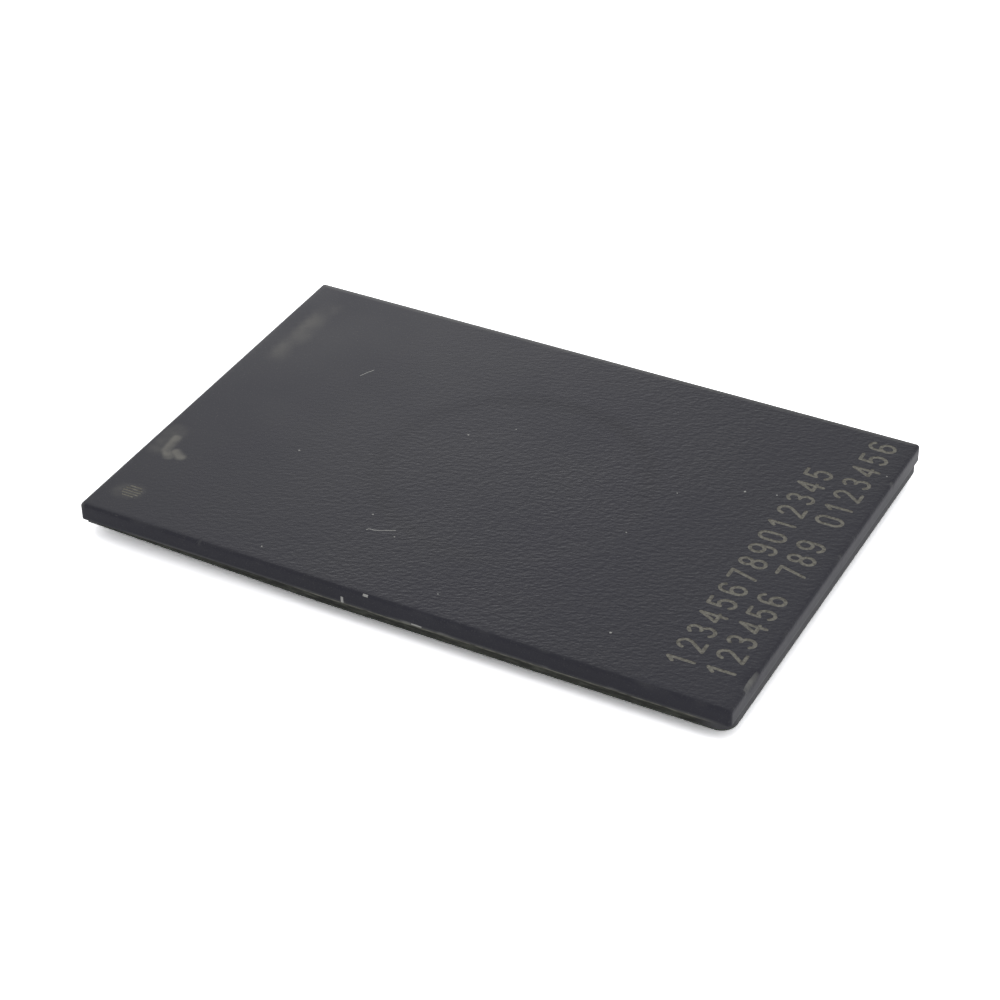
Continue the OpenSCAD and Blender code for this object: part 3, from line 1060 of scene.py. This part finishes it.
class PACKAGE_OT_stage(bpy.types.Operator):
    """Set the floor, the light and the camera"""

    bl_idname = "package.stage"
    bl_label = "Stage"

    def execute(self, context):
        settings = context.scene.package_stage
        self.add_floor(settings)
        self.add_light(context.scene, settings)
        self.add_camera(context.scene, settings)
        context.scene.view_settings.view_transform = "Standard"
        return {"FINISHED"}

    def add_floor(self, settings):
        """White floor that keeps the shadow and can be seen through from below."""
        mesh = bpy.data.meshes.new("studio_floor")
        corners = [(x * FLOOR_REACH, y * FLOOR_REACH, 0)
                   for x, y in ((-1, -1), (1, -1), (1, 1), (-1, 1))]
        mesh.from_pydata(corners, [], [(0, 1, 2, 3)])
        paper = bpy.data.materials.new("matt_white_paper")
        paper.use_nodes = True
        tree = paper.node_tree
        tree.nodes.clear()
        camera, mirror = self.light_path(tree)
        reflected = add_node(tree, "ShaderNodeMix", {
            "Factor": mirror, "A": settings.floor,
            "B": scaled(settings.floor, settings.mirror_gain)}, data_type="RGBA")
        tone = add_node(tree, "ShaderNodeMix", {
            "Factor": camera, "A": reflected, "B": scaled(settings.floor, settings.floor_gain)},
            data_type="RGBA")
        matt = add_node(tree, "ShaderNodeBsdfDiffuse", {"Color": tone})
        clear = add_node(tree, "ShaderNodeBsdfTransparent", {})
        below = add_node(tree, "ShaderNodeNewGeometry", {}, "Backfacing")
        mixed = add_node(tree, "ShaderNodeMixShader", {"Fac": below})
        tree.links.new(matt, mixed.node.inputs[1])
        tree.links.new(clear, mixed.node.inputs[2])
        output = tree.nodes.new("ShaderNodeOutputMaterial")
        tree.links.new(mixed, output.inputs["Surface"])
        mesh.materials.append(paper)
        link("studio_floor", mesh)

    def light_path(self, tree):
        """Outputs that are 1 for rays from the camera, and for rays by way of gloss or glass."""
        rays = tree.nodes.new("ShaderNodeLightPath").outputs
        mirror = add_node(tree, "ShaderNodeMath", {}, operation="MAXIMUM")
        tree.links.new(rays["Is Glossy Ray"], mirror.node.inputs[0])
        tree.links.new(rays["Is Transmission Ray"], mirror.node.inputs[1])
        return rays["Is Camera Ray"], mirror

    def add_light(self, scene, settings):
        """Even white light from all round, a soft panel behind, and a faint light from +X."""
        world = bpy.data.worlds.new("white_studio")
        world.use_nodes = True
        tree = world.node_tree
        tree.nodes.clear()
        camera, mirror = self.light_path(tree)
        direct = add_node(tree, "ShaderNodeMath", {}, operation="MAXIMUM")
        tree.links.new(camera, direct.node.inputs[0])
        tree.links.new(mirror, direct.node.inputs[1])
        strength = add_node(tree, "ShaderNodeMapRange", {
            "Value": direct, "To Min": settings.sky, "To Max": 1.0})
        sky = add_node(tree, "ShaderNodeBackground", {"Color": (1, 1, 1, 1), "Strength": strength})
        output = tree.nodes.new("ShaderNodeOutputWorld")
        tree.links.new(sky, output.inputs["Surface"])
        scene.world = world
        panel = bpy.data.lights.new("soft_panel", "AREA")
        panel.shape = "SQUARE"
        panel.size = PANEL_SIZE
        panel.energy = settings.panel
        self.place_lamp(panel, PANEL_PLACE)
        side = bpy.data.lights.new("soft_side", "SUN")
        side.energy = settings.side
        side.angle = SIDE_SPREAD
        self.place_lamp(side, SIDE_PLACE)

    def place_lamp(self, data, spot):
        """Puts a lamp at a spot, turned to the package."""
        lamp = link(data.name, data)
        lamp.location = spot
        lamp.rotation_mode = "QUATERNION"
        lamp.rotation_quaternion = spot.to_track_quat("Z", "Y")

    def add_camera(self, scene, settings):
        """Camera at its angle round the package, looking just beside the package's middle."""
        turn, lift = settings.azimuth, settings.elevation
        back = Vector((
            math.sin(turn) * math.cos(lift), -math.cos(turn) * math.cos(lift), math.sin(lift)))
        level = (-back).cross(Vector((0, 0, 1))).normalized()
        upright = level.cross(-back)
        right = level * math.cos(settings.roll) + upright * math.sin(settings.roll)
        up = upright * math.cos(settings.roll) - level * math.sin(settings.roll)
        data = bpy.data.cameras.new("camera")
        data.lens = settings.lens
        data.sensor_width = 36
        data.clip_start = 0.001
        data.clip_end = 10
        camera = link("camera", data)
        facing = Matrix((right, up, back)).transposed().to_4x4()
        camera.matrix_world = Matrix.Translation(LOOK_AT + back * settings.distance) @ facing
        scene.camera = camera


class PACKAGE_PT_build(bpy.types.Panel):
    """Lists the steps that build the package"""

    bl_idname = "PACKAGE_PT_build"
    bl_label = "Ball grid package"
    bl_space_type = "VIEW_3D"
    bl_region_type = "UI"
    bl_category = "Package"

    def draw(self, context):
        for operator in OPERATORS:
            self.layout.operator(operator.bl_idname)
        for group in SETTINGS:
            settings = getattr(context.scene, group)
            box = self.layout.box()
            for name in settings.bl_rna.properties.keys():
                if name not in ("rna_type", "name"):
                    box.prop(settings, name)


SETTINGS = {
    "package_cap": CapSettings,
    "package_laminate": LaminateSettings,
    "package_metal": MetalSettings,
    "package_stage": StageSettings,
}
OPERATORS = (
    PACKAGE_OT_mould_cap,
    PACKAGE_OT_laminate,
    PACKAGE_OT_copper,
    PACKAGE_OT_die_stack,
    PACKAGE_OT_solder_balls,
    PACKAGE_OT_stage,
)


def register():
    """Registers every class, and the settings on the scene."""
    for made in (*SETTINGS.values(), *OPERATORS, PACKAGE_PT_build):
        bpy.utils.register_class(made)
    for name, group in SETTINGS.items():
        setattr(bpy.types.Scene, name, bpy.props.PointerProperty(type=group))


def unregister():
    """Takes away what register added."""
    for name in SETTINGS:
        delattr(bpy.types.Scene, name)
    for made in (PACKAGE_PT_build, *reversed(OPERATORS), *reversed(SETTINGS.values())):
        bpy.utils.unregister_class(made)


def main():
    """Builds the package and its stage."""
    register()
    for operator in OPERATORS:
        group, step = operator.bl_idname.split(".")
        getattr(getattr(bpy.ops, group), step)()
    bpy.context.view_layer.update()


if __name__ == "__main__":
    main()
